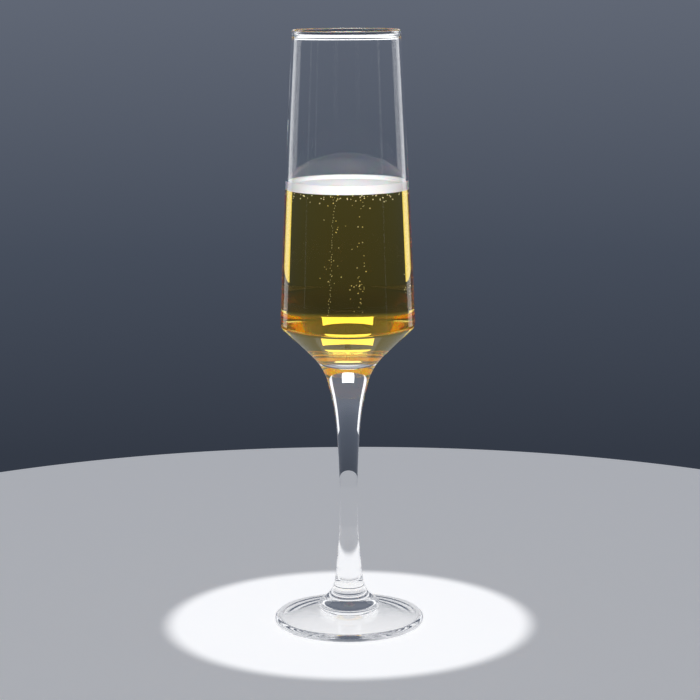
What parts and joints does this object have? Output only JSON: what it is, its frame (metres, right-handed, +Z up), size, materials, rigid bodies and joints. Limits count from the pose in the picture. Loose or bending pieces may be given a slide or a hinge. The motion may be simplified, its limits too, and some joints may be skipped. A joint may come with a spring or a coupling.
{
  "type": "champagne flute",
  "caption": "Tall clear glass flute with an angular shoulder, solid stem and round foot, holding pale gold sparkling wine under a thin white foam.",
  "frame": {"origin": "middle of the circle that the foot stands on", "axes": "+Z up along the axis that the glass is turned about, from the foot to the rim; X and Y are alike"},
  "size_m": [0.0634, 0.0634, 0.25],
  "materials": {
    "clear_glass": "polished",
    "champagne": "gloss",
    "foam": "matte"
  },
  "bodies": {
    "root": {"bowl": "clear_glass", "stem": "clear_glass", "foot": "clear_glass", "champagne": "champagne", "foam": "foam"}
  },
  "joints": []
}
